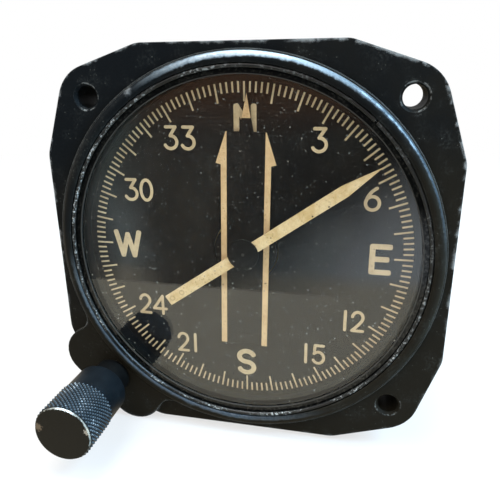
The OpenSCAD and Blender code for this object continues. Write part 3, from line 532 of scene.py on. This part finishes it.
for part in frame["record"]["subparts"]:
    for slot in node[part["node"]].material_slots:
        slot.material = FINISHES[part["material_slot"]]
node["snap_ring"].material_slots[0].material = ring_wire
node["rotor_shaft"].material_slots[0].material = shaft_end


# Painted marks on the dial and on the course plate


def arc(cx, cy, rx, ry, start, stop, steps=18):
    """Points on an ellipse between two angles."""
    turn = math.radians(stop - start) / steps
    first = math.radians(start)
    angles = [first + turn * i for i in range(steps + 1)]
    return [(cx + rx * math.cos(a), cy + ry * math.sin(a)) for a in angles]


def curve(a, b, c, steps=12):
    """Points on the smooth bend from a to c that b pulls."""
    ts = [i / steps for i in range(steps + 1)]
    return [
        tuple((1 - t) ** 2 * p + 2 * t * (1 - t) * q + t * t * r for p, q, r in zip(a, b, c))
        for t in ts
    ]


# Each stroke runs through a box from -1 to 1 both ways
GLYPHS = {
    "0": [arc(0, 0, 1, 1, 90, 450, 40)],
    "1": [[(0, 1), (0, -1)]],
    "2": [
        arc(0, 0.42, 0.95, 0.58, 172, -18) + curve((0.9, 0.22), (0.55, -0.2), (-0.95, -1), 8)[1:],
        [(-0.95, -1), (1, -1)],
    ],
    "3": [
        [(-0.8, 1), (0.82, 1)], [(0.82, 1), (-0.1, 0.2)],
        arc(-0.06, -0.4, 1.06, 0.6, 92, -152),
    ],
    "4": [[(0.48, 1), (-1, -0.44)], [(-1, -0.44), (1, -0.44)], [(0.48, 1), (0.48, -1)]],
    "5": [
        [(-0.72, 1), (0.86, 1)], [(-0.72, 1), (-0.86, 0.06)],
        arc(-0.08, -0.36, 1.06, 0.64, 138, -150),
    ],
    "6": [arc(0, -0.38, 1, 0.62, 90, 450, 36), curve((0.55, 1), (-0.72, 0.55), (-0.99, -0.34))],
    "N": [[(-1, -1), (-1, 1)], [(-1, 1), (1, -1)], [(1, -1), (1, 1)]],
    "E": [
        [(-1, 1), (-1, -1)], [(-1, 1), (1, 1)],
        [(-1, 0.02), (0.72, 0.02)], [(-1, -1), (1, -1)],
    ],
    "S": [arc(0, 0.5, 1, 0.5, 22, 270, 20) + arc(0, -0.5, 1, 0.5, 90, -158, 20)[1:]],
    "W": [
        [(-1, 1), (-0.5, -1)], [(-0.5, -1), (0, 0.8)],
        [(0, 0.8), (0.5, -1)], [(0.5, -1), (1, 1)],
    ],
}

# Points on the end of a stroke
CAP_STEPS = 8


def stroke_outline(path, half, square):
    """The outline of a brush stroke; square below 1 makes its ends blunter than round."""
    closed = math.dist(path[0], path[-1]) < 1e-6
    points = [Vector(p) for p in (path[:-1] if closed else path)]
    count = len(points)
    sides = []
    for i, p in enumerate(points):
        before = points[i - 1] if i or closed else None
        after = points[(i + 1) % count] if i < count - 1 or closed else None
        pairs = [(a, b) for a, b in ((before, p), (p, after)) if a is not None and b is not None]
        ways = [(b - a).normalized() for a, b in pairs]
        way = sum(ways, Vector((0, 0))).normalized()
        reach = half / max(0.5, way.dot(ways[0]))
        sides.append((p, way, Vector((-way.y, way.x)) * reach))
    left = [p + aside for p, _, aside in sides]
    right = [p - aside for p, _, aside in sides]
    if closed:
        return left, right

    def cap(p, way):
        out = []
        for k in range(1, CAP_STEPS):
            turn = math.radians(90 - 180 * k / CAP_STEPS)
            c, s = math.cos(turn), math.sin(turn)
            along = abs(c) ** square * half * (0.35 + 0.65 * square)
            aside = math.copysign(abs(s) ** square, s) * half
            out.append(p + way * along + Vector((-way.y, way.x)) * aside)
        return out

    end, start = cap(points[-1], sides[-1][1]), cap(points[0], -sides[0][1])
    return left + end + right[::-1] + start, None


def placed(name, data):
    """A new object in the scene."""
    made = bpy.data.objects.new(name, data)
    bpy.context.scene.collection.objects.link(made)
    return made


def prism(name, outer, inner=None):
    """A closed solid of height 1 between an outline and, where there is one, a hole."""
    mesh = bpy.data.meshes.new(name)
    loops = [outer] + ([inner] if inner else [])
    count = sum(len(loop) for loop in loops)
    points = [(p[0], p[1], z) for z in (0.0, 1.0) for loop in loops for p in loop]
    faces = []
    start = 0
    for loop in loops:
        n = len(loop)
        for i in range(n):
            a, b = start + i, start + (i + 1) % n
            outward, inward = (a, b, b + count, a + count), (b, a, a + count, b + count)
            faces.append(outward if loop is outer else inward)
        start += n
    if inner:
        n = len(outer)
        for i in range(n):
            a, b = i, (i + 1) % n
            faces.append((b, a, a + n, b + n))
            faces.append((a + count, b + count, b + n + count, a + n + count))
    else:
        faces.append(tuple(reversed(range(count))))
        faces.append(tuple(range(count, 2 * count)))
    mesh.from_pydata(points, [], faces)
    mesh.validate()
    return placed(name, mesh)


def united(name, solids):
    """Joins overlapping solids into one skin."""
    base = solids[0]
    for other in solids[1:]:
        join = base.modifiers.new("join", "BOOLEAN")
        join.operation = "UNION"
        join.solver = "EXACT"
        join.object = other
        graph = bpy.context.evaluated_depsgraph_get()
        mesh = bpy.data.meshes.new_from_object(base.evaluated_get(graph))
        base.modifiers.clear()
        base.data = mesh
        bpy.data.objects.remove(other)
    base.name = name
    return base


def counter_clockwise(loop):
    area = sum(a[0] * b[1] - b[0] * a[1] for a, b in zip(loop, loop[1:] + loop[:1]))
    return loop if area > 0 else loop[::-1]


def glyph(sign, width, height, stroke, square):
    """One sign, centred on the origin, in millimetres."""
    sx, sy = (width - stroke) / 2, (height - stroke) / 2
    solids = []
    for k, path in enumerate(GLYPHS[sign]):
        outer, inner = stroke_outline([(x * sx, y * sy) for x, y in path], stroke / 2, square)
        if inner:
            outer, inner = sorted((outer, inner), key=lambda loop: -max(p.x for p in loop))
            inner = counter_clockwise(inner)
        solids.append(prism(f"{sign}{k}", counter_clockwise(outer), inner))
    return united(sign, solids)


def on_face(obj, face, heading=0.0, at=(0.0, 0.0)):
    """Lays a piece of paint that was drawn in millimetres on a face that looks along -Y."""
    turn = Matrix.Rotation(-math.radians(heading), 4, "Z")
    lay = Matrix(((1, 0, 0, 0), (0, 0, -PAINT, face), (0, 1, 0, 0), (0, 0, 0, 1)))
    shift = Matrix.Translation((at[0], at[1], 0))
    obj.data.transform(Matrix.Scale(MM, 4) @ lay @ turn @ shift)
    return obj


def joined(name, objs, paint, body):
    """Makes one piece of several meshes and lets it ride."""
    mesh = bpy.data.meshes.new(name)
    points, faces = [], []
    for obj in objs:
        base = len(points)
        points += [v.co[:] for v in obj.data.vertices]
        faces += [tuple(base + i for i in f.vertices) for f in obj.data.polygons]
        bpy.data.objects.remove(obj)
    mesh.from_pydata(points, [], faces)
    mesh.validate()
    mesh.materials.append(paint)
    made = placed(name, mesh)
    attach(made, body)


NUMERAL_H = 5.0
NUMERAL_STROKE = 0.65
NUMERAL_ENDS = 1.0

# Sign, place across and up, and width
NUMERALS = [
    ("3", -15.45, 23.3, 3.2), ("3", -11.77, 23.3, 3.2),
    ("3", -25.08, 12.22, 3.2), ("0", -21.62, 12.22, 3.1),
    ("3", 14.82, 23.3, 3.2), ("6", 25.48, 12.16, 3.3),
    ("1", 21.5, -14.4, 0.74), ("2", 24.1, -14.4, 2.95),
    ("1", 13.37, -23.18, 0.74), ("5", 16.2, -23.18, 2.95),
    ("2", -15.1, -23.33, 2.95), ("1", -12.2, -23.33, 0.74),
    ("2", -23.85, -14.39, 3.05), ("4", -20.3, -14.39, 3.6),
]
numerals = [
    on_face(glyph(sign, w, NUMERAL_H, NUMERAL_STROKE, NUMERAL_ENDS), DIAL_FACE, at=(x, y))
    for sign, x, y, w in NUMERALS
]
joined("dial_numerals", numerals, letter_paint, "case")

LETTER_STROKE = 1.14
LETTER_ENDS = 0.75

# Sign, place across and up, width and height
LETTERS = [
    ("N", 0.13, 26.9, 4.6, 6.5), ("E", 27.87, -0.2, 4.55, 6.6),
    ("S", -0.07, -26.88, 4.5, 6.6), ("W", -26.84, -0.05, 6.5, 6.5),
]
letters = [
    on_face(glyph(sign, w, h, LETTER_STROKE, LETTER_ENDS), DIAL_FACE, at=(x, y))
    for sign, x, y, w, h in LETTERS
]
joined("dial_letters", letters, letter_paint, "case")

TICK_HALF = 0.37 / 2
TICK_OUT = 34.2
LONG_TICK_IN = 30.5
SHORT_TICK_IN = 32.2
ticks = []
for degree in range(0, 360, 2):
    tick_in = SHORT_TICK_IN if degree % 10 else LONG_TICK_IN
    outline = [
        (-TICK_HALF, tick_in), (TICK_HALF, tick_in), (TICK_HALF, TICK_OUT), (-TICK_HALF, TICK_OUT)
    ]
    ticks.append(on_face(prism(f"tick{degree}", outline), DIAL_FACE, heading=degree))
joined("dial_ticks", ticks, letter_paint, "case")

LINE_IN, LINE_OUT = 3.94, 5.16
LINE_TOP, LINE_TAIL = 24.74, -21.87
TIP_W = 0.2
BARB_X, BARB_Y = 6.22, 18.47
BARB_RISE = 0.25
right = [
    (LINE_IN, LINE_TAIL), (LINE_OUT, LINE_TAIL), (LINE_OUT, BARB_Y - BARB_RISE), (BARB_X, BARB_Y),
    (LINE_IN + TIP_W, LINE_TOP), (LINE_IN, LINE_TOP),
]
left = [(-x, y) for x, y in reversed(right)]

# The index is the upper part of a longer triangle
INDEX_TIP, INDEX_END = 32.02, 27.4
TRIANGLE_END, TRIANGLE_HALF = 24.85, 1.43
index_half = TRIANGLE_HALF * (INDEX_TIP - INDEX_END) / (INDEX_TIP - TRIANGLE_END)
index = [(-index_half, INDEX_END), (index_half, INDEX_END), (0, INDEX_TIP)]
marks = [
    on_face(prism(name, outline), COURSE_FACE, heading=COURSE_AZ)
    for name, outline in (("right", right), ("left", left), ("index", index))
]
joined("course_paint", marks, line_paint, "course_lines")


# Stage: pale floor, soft light and the photograph's camera

WHITE = (1, 1, 1, 1)
FLOOR_GAP = 0.0002
FLOOR_Z = cad_box[0][2] - FLOOR_GAP
FLOOR_SPAN = 4.0


def plane(name, lower_left, lower_right, upper_right, upper_left):
    """A four-cornered face, in metres."""
    mesh = bpy.data.meshes.new(name)
    mesh.from_pydata([lower_left, lower_right, upper_right, upper_left], [], [(0, 1, 2, 3)])
    return placed(name, mesh)


floor = plane(
    "floor",
    (-FLOOR_SPAN, -FLOOR_SPAN, FLOOR_Z), (FLOOR_SPAN, -FLOOR_SPAN, FLOOR_Z),
    (FLOOR_SPAN, FLOOR_SPAN, FLOOR_Z), (-FLOOR_SPAN, FLOOR_SPAN, FLOOR_Z),
)


def floor_white():
    """Keeps a shadow near the part, fades to plain white farther out, and is tinted in mirrors."""
    material, place = new_finish("floor_white")
    x, y, _ = place.parts()
    far = (x * x + y * y).math("SQRT").step(120, 500)
    eye = place.node("ShaderNodeLightPath", take="Is Camera Ray")
    diffuse = place.node("ShaderNodeBsdfDiffuse", None, {"Color": (0.5, 0.49, 0.47, 1)})
    mirrored = x.step(-25, 30).tint((0.36, 0.45, 0.44, 1), (0.95, 0.97, 1, 1))
    mirrored = y.step(-110, -85).tint(mirrored, (1, 0.78, 0.42, 1))
    glow = {"Color": eye.tint(mirrored, WHITE), "Strength": 1.0}
    white = place.node("ShaderNodeEmission", None, glow)
    close(place, (seen(place) * (far * 0.3 + 0.7)).mixed(diffuse, white))
    return material


floor.data.materials.append(floor_white())

# A leaning dark screen in front of the dial, which only mirrors show: a painted dark reflection,
# so the glass darkens upwards
SCREEN_LEFT, SCREEN_RIGHT = -0.16, 0.12
SCREEN_FOOT, SCREEN_HEAD = -0.08, -0.25
SCREEN_TOP = 0.09
screen = plane(
    "dark_screen",
    (SCREEN_LEFT, SCREEN_FOOT, FLOOR_Z), (SCREEN_RIGHT, SCREEN_FOOT, FLOOR_Z),
    (SCREEN_RIGHT, SCREEN_HEAD, SCREEN_TOP), (SCREEN_LEFT, SCREEN_HEAD, SCREEN_TOP),
)
screen.visible_camera = screen.visible_diffuse = screen.visible_shadow = False


def screen_dark():
    """Dull, and its colour a painted dark reflection, browner upwards; it lets light through at
    its foot and in a fold on its left.
    """
    material, place = new_finish("screen_dark")
    across, _, up = place.parts()
    fold = place.noise(70, 2) * 40
    reflected_tone = across.step(-50, 0).tint(rgb(74, 64, 55), rgb(40, 36, 32))
    reflected_tone = up.step(5, 30).tint(reflected_tone, rgb(90, 60, 42))
    dull = {"Base Color": reflected_tone, "Roughness": 1.0, "Specular IOR Level": 0.0}
    cloth = place.node("ShaderNodeBsdfPrincipled", None, dull)
    clear = place.node("ShaderNodeBsdfTransparent")
    above_foot = (up + fold - across * 0.6).step(-45, 5)
    beside_fold = (across + up * 0.6 + fold + 74).math("ABSOLUTE").step(-12, 24)
    close(place, (above_foot * beside_fold).mixed(clear, cloth))
    return material


screen.data.materials.append(screen_dark())

world = bpy.data.worlds.new("studio")
bpy.context.scene.world = world
world.use_nodes = True
world.node_tree.nodes.clear()
sky = Socket(world.node_tree)
height = sky.node("ShaderNodeTexCoord", take="Generated").parts()[2]
room = height.step(-0.1, 0.75).tint((0.30, 0.30, 0.30, 1), (0.70, 0.71, 0.73, 1))
shown = {"Color": seen(sky).tint(room, WHITE), "Strength": 1.0}
backdrop = sky.node("ShaderNodeBackground", None, shown)
sky.node("ShaderNodeOutputWorld", None, {"Surface": backdrop}, take=None)


def lamp(name, at, size, power, colour):
    """A soft square light that looks at the part."""
    light = bpy.data.lights.new(name, "AREA")
    light.shape = "SQUARE"
    light.size = size
    light.energy = power
    light.color = colour
    made = placed(name, light)
    made.location = at
    made.rotation_euler = (Vector() - Vector(at)).to_track_quat("-Z", "Y").to_euler()


lamp("key_light", (-0.25, -0.45, 0.65), 0.5, 4.4, (1, 0.96, 0.90))
lamp("window_light", (0.50, -0.03, 0.42), 0.42, 18.0, (0.42, 0.72, 1))
lamp("ceiling_light", (-0.12, 0.00, 0.70), 0.34, 8.0, (0.90, 0.96, 1))

# The camera's place and directions, worked out from the dial's ticks
IMAGE = 500
FOCAL_PX = 514.3
SENSOR = 36
camera = bpy.data.cameras.new("camera")
camera.sensor_width = SENSOR
camera.lens = FOCAL_PX / IMAGE * SENSOR
camera.clip_start = 0.005
to_right = Vector((0.97714, 0.21244, -0.00809))
to_top = Vector((-0.06038, 0.31380, 0.94757))
to_back = Vector((0.20384, -0.92542, 0.31945))
eye = Vector((0.02314, -0.09722, 0.03500))
seat = placed("camera", camera)
seat.matrix_world = Matrix((
    (to_right.x, to_top.x, to_back.x, eye.x),
    (to_right.y, to_top.y, to_back.y, eye.y),
    (to_right.z, to_top.z, to_back.z, eye.z),
    (0, 0, 0, 1),
))
bpy.context.scene.camera = seat

bpy.context.scene.view_settings.view_transform = "Standard"
